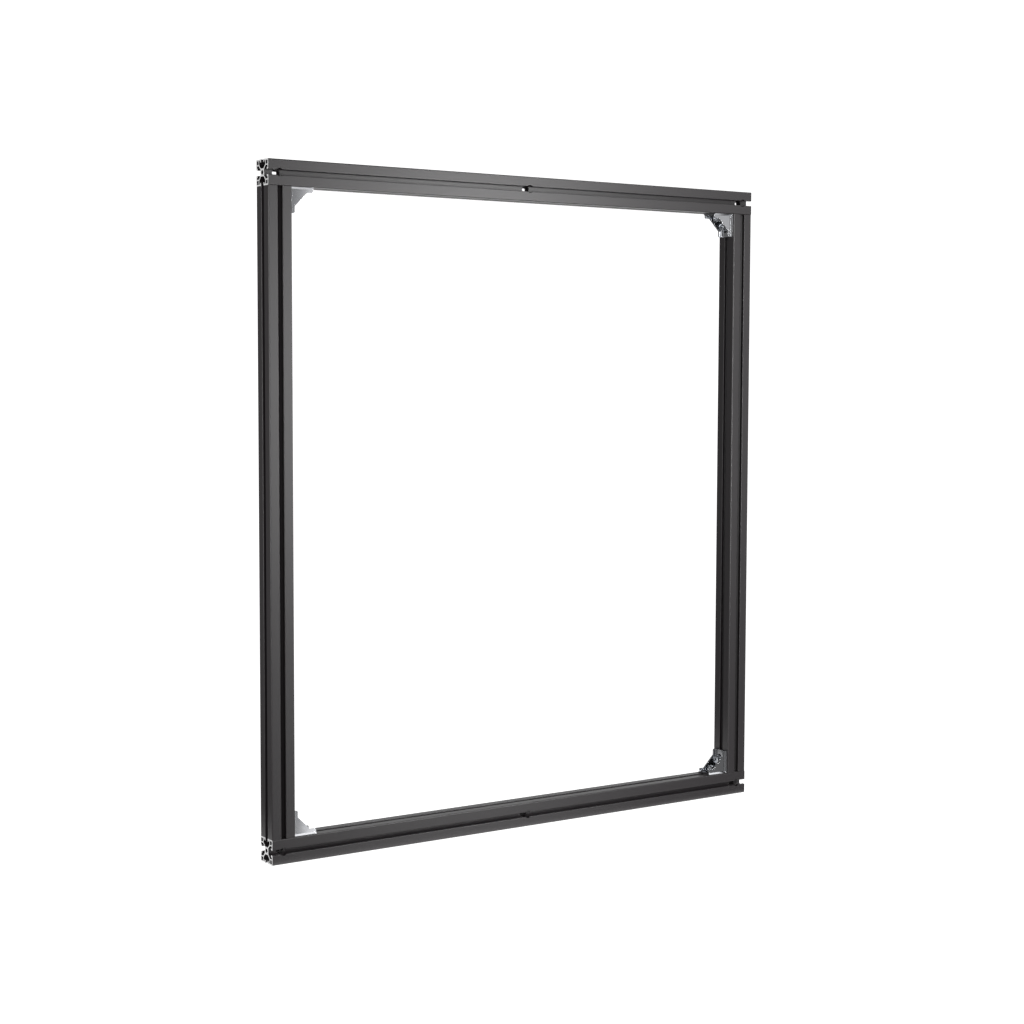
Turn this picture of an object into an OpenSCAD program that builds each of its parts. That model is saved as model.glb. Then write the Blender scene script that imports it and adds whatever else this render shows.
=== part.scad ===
// Upright rectangular staging frame of slotted aluminium extrusion.
// Two full-width rails, two posts between them, a cast bracket in each inside corner.
// Origin at the middle of the underside: X across the frame, Y to the rear, Z up.

/* [Frame] */
// Overall width, which is also the length of both rails
frame_w = 960; // [300:10:2400]
// Overall height
frame_h = 1086; // [300:2:2400]

/* [Slotted profile] */
// Width and depth of the square profile
profile_w = 40; // [40:1:44]
// Radius of the profile's four long outer edges
edge_r = 1.5; // [0.5:0.1:2]
// Width of a slot's mouth
slot_w = 8.2; // [8:0.1:8.6]
// Depth of a slot from the face to its floor
slot_d = 14; // [12:0.1:14]
// Radius on each lip of a slot's mouth
lip_r = 0.8; // [0.2:0.1:1.2]
// Depth at which the slot opens out behind its lips
lip_t = 4.5; // [3.5:0.1:4.5]
// Width of the slot behind its lips
cavity_w = 20.4; // [18:0.1:20.4]
// Thickness of the outer walls
wall = 2.2; // [1.6:0.1:2.4]
// Diameter of the bore along the profile's core
core_bore_d = 6.8; // [6:0.1:7]

/* [Cross holes] */
// Diameter of the holes drilled through both rails, front to back
cross_hole_d = 13; // [9:0.5:13]

/* [Corner brackets] */
// Length of each leg, from the inside corner
leg = 40; // [38:0.5:44]
// Overall width across the feet
bracket_w = 33; // [31:0.5:36]
// Height of the side walls at the foot of each leg
toe_h = 8; // [7:0.5:9]
// Length of the straight edge at each foot, before the slanting edge
toe_l = 10.6; // [8:0.1:12]
// Thickness of a leg
foot_t = 3; // [2.5:0.1:4]
// Thickness of a side wall
cheek_t = 3; // [2.5:0.1:4]
// Width of the bevels on the feet, outside the side walls
bevel = 2.6; // [1:0.1:3.4]
// Length of the slotted screw hole in each leg
hole_l = 17; // [14:0.5:18]

/* [Fasteners] */
// Distance of each screw from the inside corner
screw_at = 22; // [21:0.5:24]
// Length of a screw under its head
screw_l = 16; // [14:1:16]

/* [Hidden] */
CORNERS = ["top_left", "top_right", "bottom_left", "bottom_right"];
LEGS = ["rail", "post"];
FASTENERS = ["screw", "washer", "slot_nut"];

half = profile_w / 2;
inner_w = frame_w - 2 * profile_w;
inner_h = frame_h - 2 * profile_w;
cut = 1;                                 // how far a cutting shape runs past a face

// Profile
nose_w = 2.8;                            // width of the thick nose on each lip
taper_from = 8.4;                        // depth at which the slot starts to taper, at 45 degrees
floor_w = cavity_w - 2 * (slot_d - taper_from);
web_t = 1.8;                             // wall between a slot and a corner's hollow
chamber = half - wall - web_t - cavity_w / 2;
hole_xs = [half - frame_w / 2, 0, frame_w / 2 - half];

// Bracket
toe_r = 2;                               // rounding of the toes
edge_t = 0.4;                            // height of a foot's upright edge, below its bevel
key_w = slot_w - 0.4;                    // keys that locate each foot in the slot
key_h = 2;
key_l = 5;
key_xs = [3.5, leg - key_l - 1];
hole_at = 24;                            // middle of the slotted hole, from the inside corner

// Fasteners: an M8 cap screw, its washer and a nut in the slot
screw_d = 8;
screw_bevel = 1;
clear_d = screw_d + 1;                   // width of the slotted hole
washer_d = 15;
washer_t = 1.6;
washer_bore = screw_d + 0.4;
head_d = 13;
head_h = screw_d;
head_bevel = 0.6;
socket_af = 6;                           // hexagon socket, across its flats
socket_h = 4;
nut_l = 16;                              // length along the slot
nut_neck_w = slot_w - 0.4;
nut_neck_h = 2;
nut_w = cavity_w - 2;
nut_flat_d = taper_from - 0.3;           // depth at which its sides start to taper
nut_d = 10.6;                            // depth of its underside

$fn = 48;

black = "#2b292c";
bare = "#c9cacd";
zinc = "#a9acb0";

// ---- profile ---------------------------------------------------------

module rounded_square() {
    square([profile_w - 2 * edge_r, profile_w], center = true);
    square([profile_w, profile_w - 2 * edge_r], center = true);
    for (x = [-1, 1], y = [-1, 1])
        translate([x, y] * (half - edge_r)) circle(edge_r);
}

// Outline of one slot, opening upwards
module slot_cut() {
    side = [
        [slot_w / 2 + lip_r, half + cut],
        [slot_w / 2 + lip_r, half - lip_r],
        [slot_w / 2, half - lip_r],
        [slot_w / 2, half - lip_t],
        [slot_w / 2 + nose_w, half - lip_t],
        [slot_w / 2 + nose_w, half - wall],
        [cavity_w / 2, half - wall],
        [cavity_w / 2, half - taper_from],
        [floor_w / 2, half - slot_d]
    ];
    n = len(side);
    polygon(concat(side, [for (i = [n - 1:-1:0]) [-side[i][0], side[i][1]]]));
}

module lip_rounding() {
    for (x = [-1, 1])
        translate([x * (slot_w / 2 + lip_r), half - lip_r]) circle(lip_r, $fn = 24);
}

module section() {
    difference() {
        union() {
            difference() {
                rounded_square();
                for (a = [0:90:270]) rotate(a) slot_cut();
            }
            for (a = [0:90:270]) rotate(a) lip_rounding();
        }
        circle(d = core_bore_d);
        for (x = [-1, 1], y = [-1, 1])
            translate([x, y] * (half - wall - chamber / 2)) square(chamber, center = true);
    }
}

module rail(z) {
    color(black) translate([0, 0, z]) difference() {
        rotate([90, 0, 90]) linear_extrude(frame_w, center = true) section();
        for (x = hole_xs)
            translate([x, 0, 0]) rotate([90, 0, 0])
                cylinder(d = cross_hole_d, h = profile_w + 2 * cut, center = true);
    }
}

module post(x) {
    color(black) translate([x, 0, profile_w]) linear_extrude(inner_h) section();
}

module top_rail() { rail(frame_h - half); }
module bottom_rail() { rail(half); }
module left_post() { post(-(frame_w / 2 - half)); }
module right_post() { post(frame_w / 2 - half); }

// ---- corner bracket, drawn in the lower left inside corner -------------

// Moves a piece from the lower left inside corner to corner c
module at_corner(c) {
    right = c == "top_right" || c == "bottom_right";
    top = c == "top_left" || c == "top_right";
    translate([0, 0, frame_h / 2])
        mirror([right ? 1 : 0, 0, 0]) mirror([0, 0, top ? 1 : 0])
            translate([-inner_w / 2, 0, -inner_h / 2]) children();
}

// Turns a piece on the rail's leg into the one on the post's leg
module at_leg(l) {
    if (l == "post") mirror([1, 0, -1]) children();
    else children();
}

module both_legs() {
    children();
    mirror([1, 0, -1]) children();
}

// Side view of a cheek, in X and Z, with rounded toes
module cheek_outline() {
    difference() {
        polygon([
            [0, 0], [leg, 0], [leg, toe_h], [leg - toe_l, toe_h],
            [toe_h, leg - toe_l], [toe_h, leg], [0, leg]
        ]);
        for (flip = [0, 1]) mirror([flip, -flip])
            translate([leg - toe_r, toe_h - toe_r]) difference() {
                square(toe_r + cut);
                circle(toe_r);
            }
    }
}

module slab(thickness, y) {
    translate([0, y + thickness / 2, 0]) rotate([90, 0, 0]) linear_extrude(thickness) children();
}

// One foot: the plate on the profile and the two keys that locate it in the slot
module foot() {
    translate([0, -bracket_w / 2, 0]) cube([leg, bracket_w, foot_t]);
    for (x = key_xs) translate([x, -key_w / 2, -key_h]) cube([key_l, key_w, key_h + foot_t / 2]);
}

// What a foot leaves clear beside a side wall: all that is above its bevel, at 45 degrees
module above_bevel(side) {
    wall_y = bracket_w / 2 - bevel;
    clear_y = bracket_w / 2 + cut;
    rotate([90, 0, 90]) translate([0, 0, -cut]) linear_extrude(leg + 2 * cut)
        polygon([
            [side * wall_y, edge_t + bevel], [side * clear_y, edge_t - cut],
            [side * clear_y, leg + cut], [side * wall_y, leg + cut]
        ]);
}

// The recess beside a side wall, above the bevels of both feet
module wall_recess(side) {
    intersection() {
        above_bevel(side);
        mirror([1, 0, -1]) above_bevel(side);
    }
}

// The slotted hole through one foot
module screw_slot() {
    reach = (hole_l - clear_d) / 2;
    translate([hole_at, 0, -cut]) linear_extrude(foot_t + 2 * cut) {
        square([2 * reach, clear_d], center = true);
        for (x = [-1, 1]) translate([x * reach, 0]) circle(d = clear_d);
    }
}

module bracket_shape() {
    difference() {
        union() {
            both_legs() foot();
            for (side = [-1, 1])
                slab(bevel + cheek_t, side * (bracket_w - bevel - cheek_t) / 2) cheek_outline();
        }
        both_legs() screw_slot();
        for (side = [-1, 1]) wall_recess(side);
    }
}

module bracket(c) {
    color(bare) at_corner(c) bracket_shape();
}

// ---- fasteners, drawn on the rail's leg with the rail's face at z = 0 ---

module screw_shape() {
    seat = foot_t + washer_t;
    translate([screw_at, 0, seat]) difference() {
        union() {
            cylinder(d = head_d, h = head_h - head_bevel);
            translate([0, 0, head_h - head_bevel])
                cylinder(d1 = head_d, d2 = head_d - 2 * head_bevel, h = head_bevel);
            translate([0, 0, screw_bevel - screw_l]) cylinder(d = screw_d, h = screw_l);
            translate([0, 0, -screw_l])
                cylinder(d1 = screw_d - 2 * screw_bevel, d2 = screw_d, h = screw_bevel);
        }
        translate([0, 0, head_h - socket_h])
            cylinder(d = socket_af / cos(30), h = socket_h + cut, $fn = 6);
    }
}

module washer_shape() {
    translate([screw_at, 0, foot_t]) difference() {
        cylinder(d = washer_d, h = washer_t);
        translate([0, 0, -cut]) cylinder(d = washer_bore, h = washer_t + 2 * cut);
    }
}

module slot_nut_shape() {
    taper = nut_d - nut_flat_d;
    outline = [
        [nut_neck_w / 2, -lip_t + nut_neck_h], [nut_neck_w / 2, -lip_t],
        [nut_w / 2, -lip_t], [nut_w / 2, -nut_flat_d],
        [nut_w / 2 - taper, -nut_d]
    ];
    n = len(outline);
    difference() {
        translate([screw_at - nut_l / 2, 0, 0]) rotate([90, 0, 90]) linear_extrude(nut_l)
            polygon(concat(outline, [for (i = [n - 1:-1:0]) [-outline[i][0], outline[i][1]]]));
        translate([screw_at, 0, -nut_d - cut]) cylinder(d = screw_d, h = nut_d + cut);
    }
}

module fastener(f, c, l) {
    color(zinc) at_corner(c) at_leg(l) {
        if (f == "screw") screw_shape();
        if (f == "washer") washer_shape();
        if (f == "slot_nut") slot_nut_shape();
    }
}

// ---- the frame ---------------------------------------------------------

top_rail();
bottom_rail();
left_post();
right_post();
for (c = CORNERS)
    bracket(c);
for (f = FASTENERS, c = CORNERS, l = LEGS)
    fastener(f, c, l);
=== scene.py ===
import math

import bpy
from mathutils import Matrix, Vector


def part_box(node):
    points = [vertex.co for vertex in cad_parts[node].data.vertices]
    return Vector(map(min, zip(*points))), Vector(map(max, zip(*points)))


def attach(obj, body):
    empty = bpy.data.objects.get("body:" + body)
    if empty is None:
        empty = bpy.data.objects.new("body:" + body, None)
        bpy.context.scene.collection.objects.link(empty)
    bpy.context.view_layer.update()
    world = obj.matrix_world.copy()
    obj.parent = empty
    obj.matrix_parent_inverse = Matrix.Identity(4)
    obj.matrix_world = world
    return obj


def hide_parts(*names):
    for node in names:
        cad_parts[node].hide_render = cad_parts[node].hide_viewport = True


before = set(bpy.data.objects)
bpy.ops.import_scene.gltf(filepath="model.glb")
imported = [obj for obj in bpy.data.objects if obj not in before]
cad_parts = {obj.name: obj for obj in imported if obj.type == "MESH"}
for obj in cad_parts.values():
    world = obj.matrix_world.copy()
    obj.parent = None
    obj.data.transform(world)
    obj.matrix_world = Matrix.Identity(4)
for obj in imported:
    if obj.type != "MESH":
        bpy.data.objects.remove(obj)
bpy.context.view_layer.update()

# ---- Camera -------------------------------------------------------------
# A moderately long lens at about chest height, to the left of the frame and
# looking a little down, so that the near left post stands tallest.
MM = 0.001
CAMERA_AT = Vector((-1815.6, -2659.1, 765.3)) * MM
CAMERA_YAW = math.radians(34.020)        # turned from straight ahead (+Y) towards +X
CAMERA_PITCH = math.radians(-4.169)
CAMERA_ROLL = math.radians(0.170)
SENSOR_WIDTH = 36.0
FOCAL_LENGTH = 67.66

camera_data = bpy.data.cameras.new("camera")
camera_data.sensor_width = SENSOR_WIDTH
camera_data.lens = FOCAL_LENGTH
camera_data.clip_end = 100
camera = bpy.data.objects.new("camera", camera_data)
bpy.context.scene.collection.objects.link(camera)
forward = Vector((math.sin(CAMERA_YAW) * math.cos(CAMERA_PITCH),
                  math.cos(CAMERA_YAW) * math.cos(CAMERA_PITCH),
                  math.sin(CAMERA_PITCH)))
right = Vector((math.cos(CAMERA_YAW), -math.sin(CAMERA_YAW), 0))
up = right.cross(forward)
rolled_right = math.cos(CAMERA_ROLL) * right + math.sin(CAMERA_ROLL) * up
rolled_up = math.cos(CAMERA_ROLL) * up - math.sin(CAMERA_ROLL) * right
turn = Matrix((rolled_right, rolled_up, -forward)).transposed()
camera.matrix_world = Matrix.Translation(CAMERA_AT) @ turn.to_4x4()
bpy.context.scene.camera = camera


# ---- Rails and posts ----------------------------------------------------
# Extruded aluminium, black anodised in long bars. The die leaves fine lines
# along each bar, and the dye is a brown-black, not a neutral one. The rails
# are sawn to length afterwards, so that their ends are bare metal.
RAILS = ("top_rail", "bottom_rail")
POSTS = ("left_post", "right_post")
DIE_LINE = 0.7 * MM
SAW_LINE = 0.9 * MM


def linear(hex_colour):
    """The linear colour of an sRGB hex value such as "3a3638"."""
    channels = [int(hex_colour[i:i + 2], 16) / 255 for i in (0, 2, 4)]
    return [c / 12.92 if c <= 0.04045 else ((c + 0.055) / 1.055) ** 2.4 for c in channels] + [1]


def add(material, kind, links=None, **settings):
    """Adds a node of that kind; settings are its properties or unlinked inputs, links its linked inputs."""
    node = material.node_tree.nodes.new(kind)
    for name, value in settings.items():
        if hasattr(node, name):
            setattr(node, name, value)
        else:
            node.inputs[name.replace("_", " ")].default_value = value
    for name, source in (links or {}).items():
        material.node_tree.links.new(source, node.inputs[name])
    return node


def new_material(name):
    material = bpy.data.materials.new(name)
    material.use_nodes = True
    material.node_tree.nodes.clear()
    return material


def finish_surface(material, shader):
    add(material, "ShaderNodeOutputMaterial", {"Surface": shader.outputs[0]})
    return material


def black_anodised_aluminium(name, along):
    # satin black with a faint cloudiness, and die lines that draw reflections out along the bar
    m = new_material(name)
    place = add(m, "ShaderNodeTexCoord").outputs["Object"]
    cloud = add(m, "ShaderNodeTexNoise", {"Vector": place}, Scale=1 / (60 * MM), Detail=3)
    long_way = [1 / (400 * MM) if axis == along else 1 / DIE_LINE for axis in "XYZ"]
    drawn = add(m, "ShaderNodeMapping", {"Vector": place}, Scale=long_way)
    lines = add(m, "ShaderNodeTexNoise", {"Vector": drawn.outputs[0]}, Scale=1, Detail=1)
    mixed = add(m, "ShaderNodeMath", {0: cloud.outputs["Fac"], 1: lines.outputs["Fac"]}, operation="ADD")
    tone = add(m, "ShaderNodeMapRange", {"Value": mixed.outputs[0]}, From_Max=2, To_Min=0.355, To_Max=0.415)
    bump = add(m, "ShaderNodeBump", {"Height": lines.outputs["Fac"]}, Strength=0.15, Distance=0.01 * MM)
    shader = add(m, "ShaderNodeBsdfPrincipled", {"Roughness": tone.outputs[0], "Normal": bump.outputs[0]},
                 Base_Color=linear("1f1a1d"), IOR=1.77)
    return finish_surface(m, shader)


def sawn_aluminium():
    # a bright matt cut: saw lines across it, whiter and rougher than a polished face
    m = new_material("sawn_aluminium")
    place = add(m, "ShaderNodeTexCoord").outputs["Object"]
    drawn = add(m, "ShaderNodeMapping", {"Vector": place}, Scale=(1, 1 / (40 * MM), 1 / SAW_LINE))
    marks = add(m, "ShaderNodeTexNoise", {"Vector": drawn.outputs[0]}, Scale=1, Detail=2)
    rough = add(m, "ShaderNodeMapRange", {"Value": marks.outputs["Fac"]}, To_Min=0.4, To_Max=0.55)
    bump = add(m, "ShaderNodeBump", {"Height": marks.outputs["Fac"]}, Strength=0.4, Distance=0.02 * MM)
    shader = add(m, "ShaderNodeBsdfPrincipled", {"Roughness": rough.outputs[0], "Normal": bump.outputs[0]},
                 Base_Color=linear("f2f2f2"), Metallic=0.15)
    return finish_surface(m, shader)


sawn = sawn_aluminium()
rail_finish = black_anodised_aluminium("black_anodised_rail", "X")
post_finish = black_anodised_aluminium("black_anodised_post", "Z")
for name in RAILS + POSTS:
    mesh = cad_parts[name].data
    mesh.materials.clear()
    mesh.materials.append(rail_finish if name in RAILS else post_finish)
for name in RAILS:
    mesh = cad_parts[name].data
    mesh.materials.append(sawn)
    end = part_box(name)[1].x
    for face in mesh.polygons:
        if abs(face.normal.x) > 0.99 and abs(abs(face.center.x) - end) < 0.01 * MM:
            face.material_index = 1


# ---- Corner brackets ----------------------------------------------------
# Die-cast aluminium, tumbled and left bare: two feet at right angles that run
# out in broad chamfers beside two three-cornered cheeks, and keys under the
# feet that locate it in the slots. The cheeks are slightly crowned.
CORNERS = ("top_left", "top_right", "bottom_left", "bottom_right")
LEG = 40 * MM
TOE_HEIGHT = 8 * MM
TOE_LENGTH = 10.6 * MM
TOE_RADIUS = 2.5 * MM
FOOT_THICKNESS = 3 * MM
CHEEK_THICKNESS = 3 * MM
FOOT_CHAMFER = 2.6 * MM
FOOT_EDGE = 0.4 * MM                     # the upright edge of a foot, below its chamfer
CROWN = 0.8 * MM                         # how far the cheeks fall away towards their ends
CROWN_SLICES = 10
HOLE_RADIUS = 4.5 * MM                   # each foot's slotted hole: its ends, and where they lie
HOLE_ENDS = (20 * MM, 28 * MM)
KEY_WIDTH = 7.8 * MM
KEY_DEPTH = 2 * MM
KEY_LENGTH = 5 * MM
KEYS_AT = (3.5 * MM, 34 * MM)
CORNER_FILLET = 5 * MM                   # the mould's, where the two feet meet
CHEEK_FILLET = 1.5 * MM                  # and where the cheeks meet the feet
KEY_CHAMFER = 0.8 * MM
EDGE_SOFTENING = 0.45 * MM
SMOOTH_BELOW = math.radians(35)          # edges that turn less than this are shaded as one surface
half_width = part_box("bottom_left_bracket")[1].y
cheek_face = half_width - FOOT_CHAMFER
inner_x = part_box("left_post")[1].x
inner_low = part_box("bottom_rail")[1].z
inner_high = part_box("top_rail")[0].z
EXCHANGE_X_AND_Z = Matrix(((0, 0, 1, 0), (0, 1, 0, 0), (1, 0, 0, 0), (0, 0, 0, 1)))


def into_corner(corner):
    """The transform from a bracket's own axes (rail along X, post along Z) to that corner of the frame."""
    side = -1 if corner.endswith("right") else 1
    way = -1 if corner.startswith("top") else 1
    height = inner_high if way < 0 else inner_low
    return Matrix.Translation((side * inner_x, 0, height)) @ Matrix.Diagonal((side, 1, way, 1))


def only(obj):
    """Makes obj the one selected and active object."""
    bpy.ops.object.select_all(action="DESELECT")
    obj.select_set(True)
    bpy.context.view_layer.objects.active = obj


def edit(obj, mode, test):
    """Enters edit mode with those vertices, edges or faces selected that pass the test."""
    only(obj)
    bpy.ops.object.mode_set(mode="EDIT")
    bpy.ops.mesh.select_mode(type=mode)
    bpy.ops.mesh.select_all(action="DESELECT")
    bpy.ops.object.mode_set(mode="OBJECT")
    mesh = obj.data
    if mode == "VERT":
        for vertex in mesh.vertices:
            vertex.select = test(vertex.co)
    elif mode == "EDGE":
        for edge in mesh.edges:
            edge.select = test(*(mesh.vertices[i].co for i in edge.vertices))
    else:
        for face in mesh.polygons:
            face.select = test(face.center, face.normal)
    bpy.ops.object.mode_set(mode="EDIT")


def done():
    bpy.ops.object.mode_set(mode="OBJECT")


def block(low, high):
    """A box between two corners."""
    low, high = Vector(low), Vector(high)
    bpy.ops.object.select_all(action="DESELECT")
    bpy.ops.mesh.primitive_cube_add(size=1, location=(low + high) / 2, scale=high - low)
    bpy.ops.object.transform_apply()
    return bpy.context.object


def bar(radius, low, high, at=0, sides=64):
    """A round or many-sided bar along Z between two heights."""
    bpy.ops.object.select_all(action="DESELECT")
    bpy.ops.mesh.primitive_cylinder_add(vertices=sides, radius=radius, depth=high - low,
                                        location=(at, 0, (low + high) / 2))
    bpy.ops.object.transform_apply()
    return bpy.context.object


def apply_modifier(obj, kind, **settings):
    only(obj)
    modifier = obj.modifiers.new(kind.lower(), kind)
    for name, value in settings.items():
        setattr(modifier, name, value)
    bpy.ops.object.modifier_apply(modifier=modifier.name)


def combine(target, tool, operation):
    """Cuts the tool from the target, or joins it on, and removes it."""
    apply_modifier(target, "BOOLEAN", operation=operation, object=tool, solver="EXACT")
    bpy.data.objects.remove(tool)


def copy_to(piece, name, transform):
    """A copy of piece with its own mesh, put in place by transform and turned right side out."""
    twin = piece.copy()
    twin.data = piece.data.copy()
    twin.name = name
    twin.data.name = name
    bpy.context.scene.collection.objects.link(twin)
    twin.data.transform(transform)
    if transform.determinant() < 0:
        twin.data.flip_normals()
    return twin


def on_both_legs(piece):
    """The piece on the rail's leg, and a copy of it on the post's leg."""
    return piece, copy_to(piece, "twin", EXCHANGE_X_AND_Z)


def near(*values, slack=0.02 * MM):
    return max(values) - min(values) < slack


def toe():
    piece = block((LEG / 2, -half_width, 0), (LEG, half_width, TOE_HEIGHT))
    edit(piece, "EDGE", lambda a, b: near(a.x, b.x, LEG) and near(a.z, b.z, TOE_HEIGHT))
    bpy.ops.mesh.bevel(offset=TOE_RADIUS, segments=5)
    done()
    return piece


def pocket():
    """The space between the cheeks, with the mould's fillets where they meet the feet."""
    inside = cheek_face - CHEEK_THICKNESS
    reach = 2 * LEG
    piece = block((FOOT_THICKNESS, -inside, FOOT_THICKNESS), (reach, inside, reach))
    edit(piece, "EDGE", lambda a, b: near(a.x, b.x, a.z, b.z, FOOT_THICKNESS))
    bpy.ops.mesh.bevel(offset=CORNER_FILLET, segments=6)
    done()
    edit(piece, "EDGE", lambda a, b: near(abs(a.y), inside) and near(a.y, b.y)
         and min(a.x, b.x, a.z, b.z) < LEG and max(a.x, b.x) * max(a.z, b.z) < reach * LEG)
    bpy.ops.mesh.bevel(offset=CHEEK_FILLET, segments=3)
    done()
    return piece


def key(at):
    piece = block((at, -KEY_WIDTH / 2, -KEY_DEPTH), (at + KEY_LENGTH, KEY_WIDTH / 2, FOOT_THICKNESS / 2))
    edit(piece, "EDGE", lambda a, b: max(a.z, b.z) < 0 or not near(a.z, b.z))
    bpy.ops.mesh.bevel(offset=KEY_CHAMFER, segments=2)
    done()
    return piece


def recess(side):
    """What is cut away beside a cheek, down to a chamfer at 45 degrees on each foot."""
    slope = FOOT_CHAMFER + 1 * MM
    start = FOOT_EDGE + FOOT_CHAMFER
    reach = 2 * LEG
    across = sorted((side * cheek_face, side * (cheek_face + slope)))
    piece = block((start, across[0], start), (reach, across[1], reach))
    for axis, way in ((0, (-slope, 0, 0)), (2, (0, 0, -slope))):
        edit(piece, "VERT", lambda point: near(point[axis], start) and abs(point.y) > half_width)
        bpy.ops.transform.translate(value=way)
        done()
    return piece


def slotted_hole():
    middle = sum(HOLE_ENDS) / 2
    piece = bar(HOLE_RADIUS, -LEG / 4, LEG / 4, at=middle, sides=48)
    for end in HOLE_ENDS:
        edit(piece, "VERT", lambda point: (point.x - middle) * (end - middle) > 0)
        bpy.ops.transform.translate(value=(end - middle, 0, 0))
        done()
    return piece


def bracket_body():
    body = block((0, -half_width, 0), (LEG, half_width, LEG))
    edit(body, "FACE", lambda centre, normal: True)
    slant = LEG - TOE_LENGTH + TOE_HEIGHT
    bpy.ops.mesh.bisect(plane_co=(slant, 0, 0), plane_no=(1, 0, 1), clear_outer=True, use_fill=True)
    done()
    for piece in on_both_legs(toe()):
        combine(body, piece, "UNION")
    combine(body, pocket(), "DIFFERENCE")
    for at in KEYS_AT:
        for piece in on_both_legs(key(at)):
            combine(body, piece, "UNION")
    for side in (-1, 1):
        combine(body, recess(side), "DIFFERENCE")
    for piece in on_both_legs(slotted_hole()):
        combine(body, piece, "DIFFERENCE")
    return body


def soften(body):
    apply_modifier(body, "BEVEL", width=EDGE_SOFTENING, segments=3, limit_method="ANGLE",
                   angle_limit=math.radians(30), use_clamp_overlap=True)


def crown(body):
    """Slices the cheeks finely enough to bend, then moves each point in by its own share of the crown."""
    for i in range(1, CROWN_SLICES):
        for plane in ((1, 0, 0), (0, 0, 1)):
            edit(body, "FACE", lambda centre, normal: abs(centre.y) > cheek_face - CHEEK_THICKNESS)
            bpy.ops.mesh.bisect(plane_co=Vector(plane) * (LEG * i / CROWN_SLICES), plane_no=plane)
            done()
    middle = LEG / 3
    furthest = 2 * (LEG - middle) ** 2
    for v in body.data.vertices:
        fall = CROWN * ((v.co.x - middle) ** 2 + (v.co.z - middle) ** 2) / furthest
        v.co.y *= 1 - fall / half_width


def tumbled_aluminium_casting():
    # barrel-tumbled die casting: an even light grey with a fine pitted skin
    m = new_material("tumbled_aluminium_casting")
    place = add(m, "ShaderNodeTexCoord").outputs["Object"]
    skin = add(m, "ShaderNodeTexNoise", {"Vector": place}, Scale=1 / (0.8 * MM), Detail=2)
    cloud = add(m, "ShaderNodeTexNoise", {"Vector": place}, Scale=1 / (9 * MM), Detail=2)
    rough = add(m, "ShaderNodeMapRange", {"Value": cloud.outputs["Fac"]}, To_Min=0.15, To_Max=0.18)
    bump = add(m, "ShaderNodeBump", {"Height": skin.outputs["Fac"]}, Strength=0.1, Distance=0.05 * MM)
    shader = add(m, "ShaderNodeBsdfPrincipled", {"Roughness": rough.outputs[0], "Normal": bump.outputs[0]},
                 Base_Color=linear("b8b9bc"), Metallic=1.0)
    return finish_surface(m, shader)


casting = tumbled_aluminium_casting()
pattern = bracket_body()
soften(pattern)
crown(pattern)
pattern.data.materials.clear()
pattern.data.materials.append(casting)
only(pattern)
bpy.ops.object.shade_smooth_by_angle(angle=SMOOTH_BELOW)
for corner in CORNERS:
    bracket = copy_to(pattern, corner + "_bracket_casting", into_corner(corner))
    apply_modifier(bracket, "WEIGHTED_NORMAL", keep_sharp=True)
    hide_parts(corner + "_bracket")
    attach(bracket, "root")
bpy.data.objects.remove(pattern)


# ---- Cap screws ---------------------------------------------------------
# M8 x 16 cap screws of zinc-plated steel, two to a bracket: cold-headed, with
# a knurled head, a hexagon socket and a rolled thread. Each is done up with a
# hexagon key, and comes to rest at its own angle.
LEGS = {"rail": Matrix.Identity(4), "post": EXCHANGE_X_AND_Z}
SCREW_AT = 22 * MM                       # from the inside corner
SCREW_LENGTH = 16 * MM
HEAD_RADIUS = 6.5 * MM
HEAD_HEIGHT = 8 * MM
HEAD_CHAMFER = 0.7 * MM
KNURLS = 52
KNURL_DEPTH = 0.25 * MM
KNURLS_FROM = 0.6 * MM                   # plain bands below and above the knurls
KNURLS_TO = HEAD_CHAMFER + 0.5 * MM
SOCKET_RADIUS = 3 * MM / math.cos(math.radians(30))
SOCKET_DEPTH = 4 * MM
DRILL_POINT = 1.2 * MM                   # depth of the cone below the socket
COUNTERSINK = 0.4 * MM                   # depth of the cone at its mouth
THREAD_RADIUS = 4 * MM
THREAD_DEPTH = 0.77 * MM
PITCH = 1.25 * MM
TIP_CHAMFER = 1 * MM
THREAD_EASE = 0.1 * MM                   # keeps the thread's crests whole when its tip is chamfered
HELIX_STEPS = 32
WASHER_THICKNESS = 1.6 * MM
seat = FOOT_THICKNESS + WASHER_THICKNESS


def flat_cut(obj, height, keep):
    """Cuts the mesh level at that height, keeps what is "above" or "below", and closes the cut."""
    edit(obj, "FACE", lambda centre, normal: True)
    bpy.ops.mesh.bisect(plane_co=(0, 0, height), plane_no=(0, 0, 1), use_fill=True,
                        clear_inner=keep == "above", clear_outer=keep == "below")
    done()


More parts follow.
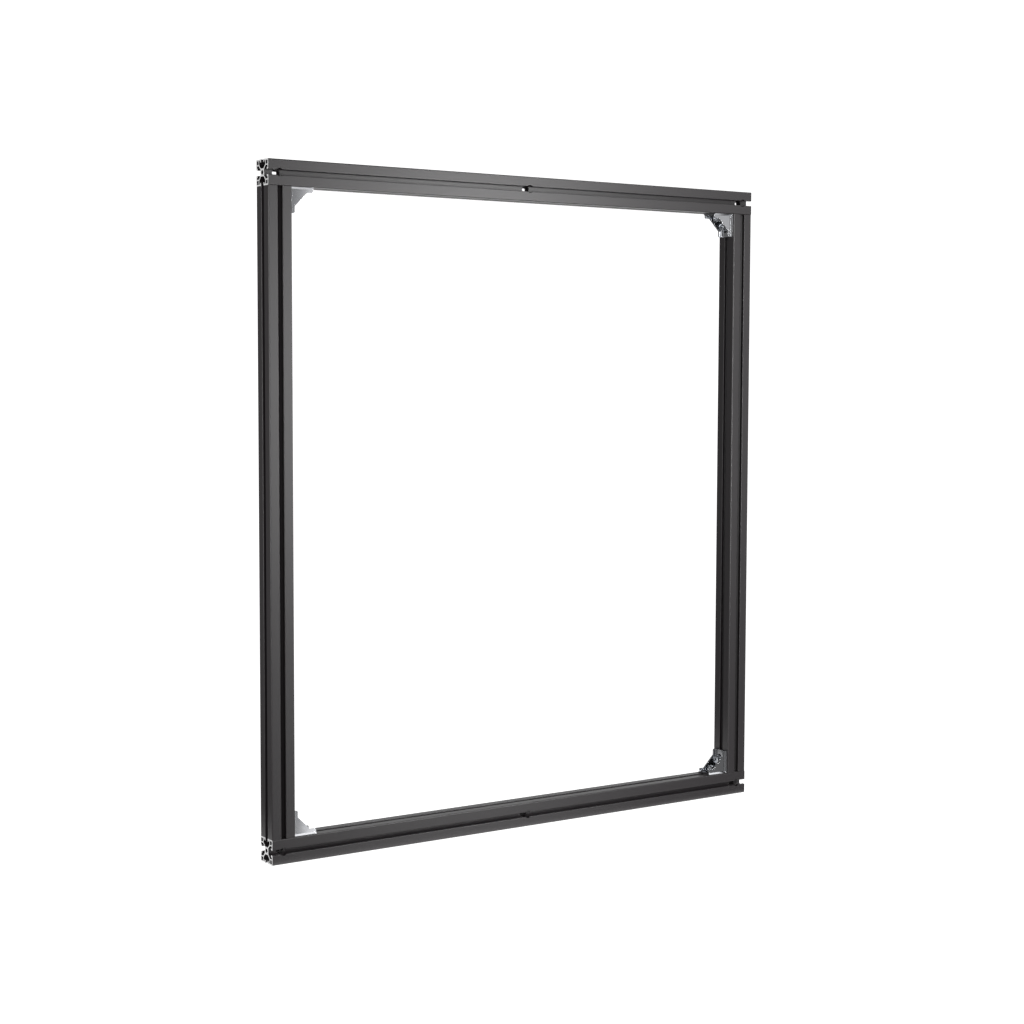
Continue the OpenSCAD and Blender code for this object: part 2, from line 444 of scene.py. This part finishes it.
def threaded_bar(low, high, at=0, ease=0):
    """A bar with a V thread from one height to another: one pitch of its outline, turned up a helix."""
    root = THREAD_RADIUS - THREAD_DEPTH + ease
    start = low - 2 * PITCH
    bpy.ops.object.select_all(action="DESELECT")
    bpy.ops.mesh.primitive_plane_add(size=PITCH, location=(root + PITCH / 2, 0, start + PITCH / 2),
                                     rotation=(math.radians(90), 0, 0))
    bpy.ops.object.transform_apply()
    thread = bpy.context.object
    edit(thread, "VERT", lambda point: point.x > root + PITCH / 2)
    bpy.ops.mesh.delete(type="VERT")
    done()
    edit(thread, "EDGE", lambda a, b: True)
    bpy.ops.mesh.subdivide(number_cuts=1)
    done()
    edit(thread, "VERT", lambda point: near(point.z, start + PITCH / 2))
    bpy.ops.transform.translate(value=(THREAD_DEPTH, 0, 0))
    done()
    turns = math.ceil((high - low) / PITCH) + 4
    apply_modifier(thread, "SCREW", axis="Z", screw_offset=PITCH, iterations=turns, steps=HELIX_STEPS,
                   render_steps=HELIX_STEPS, use_merge_vertices=True, merge_threshold=0.001 * MM)
    flat_cut(thread, low, "above")
    flat_cut(thread, high, "below")
    edit(thread, "FACE", lambda centre, normal: True)
    bpy.ops.mesh.normals_make_consistent(inside=False)
    bpy.ops.transform.translate(value=(at, 0, 0))
    done()
    return thread


def knurled_head():
    top = seat + HEAD_HEIGHT
    lowest, highest = seat + KNURLS_FROM, top - KNURLS_TO
    head = bar(HEAD_RADIUS, seat, top, at=SCREW_AT, sides=2 * KNURLS)
    edit(head, "EDGE", lambda a, b: near(a.z, b.z, top))
    bpy.ops.mesh.bevel(offset=HEAD_CHAMFER, segments=3)
    done()
    for height in (lowest, highest):
        edit(head, "FACE", lambda centre, normal: True)
        bpy.ops.mesh.bisect(plane_co=(0, 0, height), plane_no=(0, 0, 1))
        done()

    def in_a_groove(point):
        step = round(math.atan2(point.y, point.x - SCREW_AT) / math.pi * KNURLS)
        return step % 2 == 1 and (near(point.z, lowest) or near(point.z, highest))

    edit(head, "VERT", in_a_groove)
    inwards = 1 - KNURL_DEPTH / HEAD_RADIUS
    bpy.ops.transform.resize(value=(inwards, inwards, 1), center_override=(SCREW_AT, 0, seat))
    done()
    return head


def socket():
    """The hexagon that the key goes into, with a cone at its foot and a countersink at its mouth."""
    top = seat + HEAD_HEIGHT
    foot = top - SOCKET_DEPTH
    hexagon = bar(SOCKET_RADIUS, foot, top + 1 * MM, at=SCREW_AT, sides=6)
    edit(hexagon, "FACE", lambda centre, normal: normal.z < -0.9)
    bpy.ops.mesh.extrude_region_move(TRANSFORM_OT_translate={"value": (0, 0, -DRILL_POINT)})
    bpy.ops.transform.resize(value=(0.05, 0.05, 1), center_override=(SCREW_AT, 0, foot))
    done()
    bpy.ops.object.select_all(action="DESELECT")
    bpy.ops.mesh.primitive_cone_add(vertices=48, radius1=SOCKET_RADIUS - 1 * MM,
                                    radius2=SOCKET_RADIUS + 1 * MM, depth=2 * MM,
                                    location=(SCREW_AT, 0, top - COUNTERSINK))
    bpy.ops.object.transform_apply()
    combine(hexagon, bpy.context.object, "UNION")
    return hexagon


def cap_screw():
    tip = seat - SCREW_LENGTH
    shank = threaded_bar(tip, seat + 1 * MM, at=SCREW_AT)
    envelope = bar(THREAD_RADIUS + THREAD_EASE, tip, seat + 2 * MM, at=SCREW_AT)
    edit(envelope, "EDGE", lambda a, b: near(a.z, b.z, tip))
    bpy.ops.mesh.bevel(offset=TIP_CHAMFER, segments=1)
    done()
    combine(shank, envelope, "INTERSECT")
    screw = knurled_head()
    combine(screw, socket(), "DIFFERENCE")
    combine(screw, shank, "UNION")
    return screw


def bright_zinc_plated_steel():
    # bright zinc: a blue-white mirror softened by the steel's own texture, patchy where it was tumbled
    m = new_material("bright_zinc_plated_steel")
    place = add(m, "ShaderNodeTexCoord").outputs["Object"]
    grain = add(m, "ShaderNodeTexNoise", {"Vector": place}, Scale=1 / (0.5 * MM), Detail=2)
    patch = add(m, "ShaderNodeTexNoise", {"Vector": place}, Scale=1 / (4 * MM), Detail=2)
    rough = add(m, "ShaderNodeMapRange", {"Value": patch.outputs["Fac"]}, To_Min=0.16, To_Max=0.26)
    bump = add(m, "ShaderNodeBump", {"Height": grain.outputs["Fac"]}, Strength=0.12, Distance=0.03 * MM)
    shader = add(m, "ShaderNodeBsdfPrincipled", {"Roughness": rough.outputs[0], "Normal": bump.outputs[0]},
                 Base_Color=linear("c8cbd0"), Metallic=1.0)
    return finish_surface(m, shader)


def fit_fasteners(pattern, kind, piece_name, finish):
    """Puts a copy of the pattern, turned by its own angle, on each leg of each bracket, and removes it."""
    pattern.data.materials.clear()
    pattern.data.materials.append(finish)
    only(pattern)
    bpy.ops.object.shade_smooth_by_angle(angle=math.radians(30))
    axis = Matrix.Translation((SCREW_AT, 0, 0))
    for i, corner in enumerate(CORNERS):
        for j, leg in enumerate(LEGS):
            angle = 0 if kind == "slot_nut" else math.radians(37 * (2 * i + j))
            turned = axis @ Matrix.Rotation(angle, 4, "Z") @ axis.inverted()
            placed = into_corner(corner) @ LEGS[leg] @ turned
            piece = copy_to(pattern, f"{corner}_{leg}_{piece_name}", placed)
            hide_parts(f"{corner}_{leg}_{kind}")
            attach(piece, "root")
    bpy.data.objects.remove(pattern)


zinc = bright_zinc_plated_steel()
fit_fasteners(cap_screw(), "screw", "cap_screw", zinc)


# ---- Washers ------------------------------------------------------------
# Punched from zinc-plated steel strip, one under each screw's head: the punch
# rolls their upper edges over.
WASHER_RADIUS = 7.5 * MM
WASHER_BORE = 4.2 * MM
ROLLED_EDGE = 0.45 * MM


def washer():
    ring = bar(WASHER_RADIUS, FOOT_THICKNESS, seat, at=SCREW_AT, sides=96)
    combine(ring, bar(WASHER_BORE, 0, 2 * seat, at=SCREW_AT), "DIFFERENCE")
    edit(ring, "EDGE", lambda a, b: near(a.z, b.z, seat))
    bpy.ops.mesh.bevel(offset=ROLLED_EDGE, segments=4)
    done()
    return ring


fit_fasteners(washer(), "washer", "flat_washer", zinc)


# ---- Slot nuts ----------------------------------------------------------
# Steel nuts rolled to the slot's own shape, one under each screw: a neck that
# stands between the lips, shoulders that bear behind them, and an M8 thread.
NUT_LENGTH = 16 * MM
LIP_DEPTH = 4.5 * MM
NECK_WIDTH = 7.8 * MM
NECK_HEIGHT = 2 * MM
NUT_WIDTH = 18.4 * MM
NUT_DEPTH = 10.6 * MM                    # of its underside, below the profile's face
NUT_TAPER = 2.5 * MM
NUT_EDGE = 0.35 * MM                     # rounding that the rolls leave
NUT_THREAD_PLAY = 0.08 * MM


def slot_nut():
    start, end = SCREW_AT - NUT_LENGTH / 2, SCREW_AT + NUT_LENGTH / 2
    nut = block((start, -NUT_WIDTH / 2, -NUT_DEPTH), (end, NUT_WIDTH / 2, -LIP_DEPTH))
    edit(nut, "EDGE", lambda a, b: near(a.z, b.z, -NUT_DEPTH) and near(a.y, b.y))
    bpy.ops.mesh.bevel(offset=NUT_TAPER, segments=1)
    done()
    neck = block((start, -NECK_WIDTH / 2, -LIP_DEPTH - 1 * MM),
                 (end, NECK_WIDTH / 2, NECK_HEIGHT - LIP_DEPTH))
    combine(nut, neck, "UNION")
    apply_modifier(nut, "BEVEL", width=NUT_EDGE, segments=2, limit_method="ANGLE",
                   angle_limit=math.radians(30))
    tap = threaded_bar(-NUT_DEPTH - 1 * MM, 0, at=SCREW_AT, ease=NUT_THREAD_PLAY)
    combine(nut, tap, "DIFFERENCE")
    return nut


def rolled_zinc_steel():
    # barrel-plated over a rolled skin: greyer and duller than the screws, with rolling marks along it
    m = new_material("rolled_zinc_steel")
    place = add(m, "ShaderNodeTexCoord").outputs["Object"]
    marks = add(m, "ShaderNodeTexNoise", {"Vector": place}, Scale=1 / (1.5 * MM), Detail=3)
    rough = add(m, "ShaderNodeMapRange", {"Value": marks.outputs["Fac"]}, To_Min=0.35, To_Max=0.5)
    bump = add(m, "ShaderNodeBump", {"Height": marks.outputs["Fac"]}, Strength=0.2, Distance=0.05 * MM)
    shader = add(m, "ShaderNodeBsdfPrincipled", {"Roughness": rough.outputs[0], "Normal": bump.outputs[0]},
                 Base_Color=linear("a2a5a9"), Metallic=1.0)
    return finish_surface(m, shader)


fit_fasteners(slot_nut(), "slot_nut", "rolled_slot_nut", rolled_zinc_steel())


# ---- Studio -------------------------------------------------------------
# A pale floor, a pale backdrop far behind it and a dim even room. A tall narrow
# softbox stands in front to the right, with softer ones to the left, and dim
# cards stand where the brackets' cheeks and chamfers mirror them.
FLOOR_FROM = (-0.55, -0.03)
FLOOR_TO = (0.55, 0.25)
BACKDROP_DISTANCE = 12.0                 # behind the frame, square to the camera's line
CAMERA_DISTANCE = 3.2
BACKDROP_SHARE = 0.56                    # its width, as a share of its distance from the camera
FLOOR_GAP = 0.5 * MM                     # below the frame, so that the two faces don't coincide
ROOM_LEVEL = 0.2
MIDDLE = (0, 0, 0.543)                   # the middle of the frame
TOP_LEFT, TOP_RIGHT, BOTTOM_LEFT = (-0.42, 0, 1.03), (0.42, 0, 1.03), (-0.42, 0, 0.06)


def studio_white(name, glow_strength):
    # pale board: eyes and reflections see it glow white, and only its paint gives light and takes shadow
    m = new_material(name)
    ray = add(m, "ShaderNodeLightPath")
    seen = add(m, "ShaderNodeMath", {0: ray.outputs["Is Camera Ray"], 1: ray.outputs["Is Glossy Ray"]},
               operation="MAXIMUM")
    seen = add(m, "ShaderNodeMath", {0: seen.outputs[0], 1: ray.outputs["Is Transmission Ray"]},
               operation="MAXIMUM")
    strength = add(m, "ShaderNodeMath", {0: seen.outputs[0]}, operation="MULTIPLY")
    strength.inputs[1].default_value = glow_strength
    diffuse = add(m, "ShaderNodeBsdfDiffuse", Color=linear("f0f0f0"))
    glow = add(m, "ShaderNodeEmission", {"Strength": strength.outputs[0]}, Color=linear("ffffff"))
    both = add(m, "ShaderNodeAddShader", {0: diffuse.outputs[0], 1: glow.outputs[0]})
    side = add(m, "ShaderNodeNewGeometry")
    clear = add(m, "ShaderNodeBsdfTransparent")
    shader = add(m, "ShaderNodeMixShader",
                 {0: side.outputs["Backfacing"], 1: both.outputs[0], 2: clear.outputs[0]})
    return finish_surface(m, shader)


def facing(at, target):
    """The transform that puts a light at a place and turns it to a target."""
    away = (Vector(at) - Vector(target)).normalized()
    return Matrix.Translation(at) @ away.to_track_quat("Z", "Y").to_matrix().to_4x4()


def softbox(name, at, target, width, height, watts):
    data = bpy.data.lights.new(name, "AREA")
    data.shape = "RECTANGLE"
    data.size = width
    data.size_y = height
    data.energy = watts
    lamp = bpy.data.objects.new(name, data)
    lamp.matrix_world = facing(at, target)
    lamp.visible_camera = False
    bpy.context.scene.collection.objects.link(lamp)


def at_angle(target, azimuth, elevation, distance):
    """The place that far from the target: azimuth from straight in front towards +X, both in degrees."""
    azimuth, elevation = math.radians(azimuth), math.radians(elevation)
    towards = Vector((math.sin(azimuth) * math.cos(elevation),
                      -math.cos(azimuth) * math.cos(elevation),
                      math.sin(elevation)))
    return Vector(target) + distance * towards


def board(name, matrix, finish):
    bpy.ops.object.select_all(action="DESELECT")
    bpy.ops.mesh.primitive_plane_add(size=1)
    panel = bpy.context.object
    panel.name = name
    panel.matrix_world = matrix
    panel.data.materials.append(finish)


floor_middle = ((FLOOR_FROM[0] + FLOOR_TO[0]) / 2, (FLOOR_FROM[1] + FLOOR_TO[1]) / 2, -FLOOR_GAP)
floor_size = (FLOOR_TO[0] - FLOOR_FROM[0], FLOOR_TO[1] - FLOOR_FROM[1], 1, 1)
board("floor", Matrix.Translation(floor_middle) @ Matrix.Diagonal(floor_size),
      studio_white("floor_white", 0.9))

level = Vector((math.sin(CAMERA_YAW), math.cos(CAMERA_YAW), 0))
reach = CAMERA_DISTANCE + BACKDROP_DISTANCE
centre = CAMERA_AT + reach * (level + Vector((0, 0, math.tan(CAMERA_PITCH))))
backdrop_size = (BACKDROP_SHARE * reach, BACKDROP_SHARE * reach, 1, 1)
board("backdrop", facing(centre, centre + level) @ Matrix.Diagonal(backdrop_size),
      studio_white("backdrop_white", 1.0))

world = bpy.data.worlds.new("studio")
bpy.context.scene.world = world
world.use_nodes = True
world.node_tree.nodes["Background"].inputs["Strength"].default_value = ROOM_LEVEL
world.node_tree.nodes["Background"].inputs["Color"].default_value = (1, 1, 1, 1)

softbox("key_softbox", at_angle(MIDDLE, 27.8, 6.3, 1.6), MIDDLE, 0.18, 0.95, 13.5)
softbox("fill_softbox", at_angle(MIDDLE, -28, 6.8, 3.5), MIDDLE, 0.8, 1.2, 27)
softbox("left_softbox", at_angle(MIDDLE, -85, 5, 2.0), MIDDLE, 0.6, 1.2, 13)
# mirrored by the right-hand ends of the rails, then by the front cheeks of three brackets
softbox("high_card", (1.75, -1.55, 1.45), (0.43, 0, 1.03), 0.9, 1.0, 0.8)
softbox("top_left_card", (0.57, -1.42, 1.19), TOP_LEFT, 0.3, 0.5, 0.45)
softbox("top_right_card", (1.72, -1.55, 1.19), TOP_RIGHT, 0.35, 0.35, 0.13)
softbox("bottom_left_card", (0.63, -1.35, -0.30), BOTTOM_LEFT, 0.6, 0.4, 1.2)
# level cards, mirrored by the chamfers of the upper and of the lower brackets
softbox("under_card", (0.85, -0.18, -0.30), (0.85, -0.18, 1.0), 1.7, 0.4, 2.1)
softbox("over_card", (1.05, -0.45, 1.60), (1.05, -0.45, 0.0), 1.7, 0.45, 4.2)

bpy.context.scene.view_settings.view_transform = "Standard"
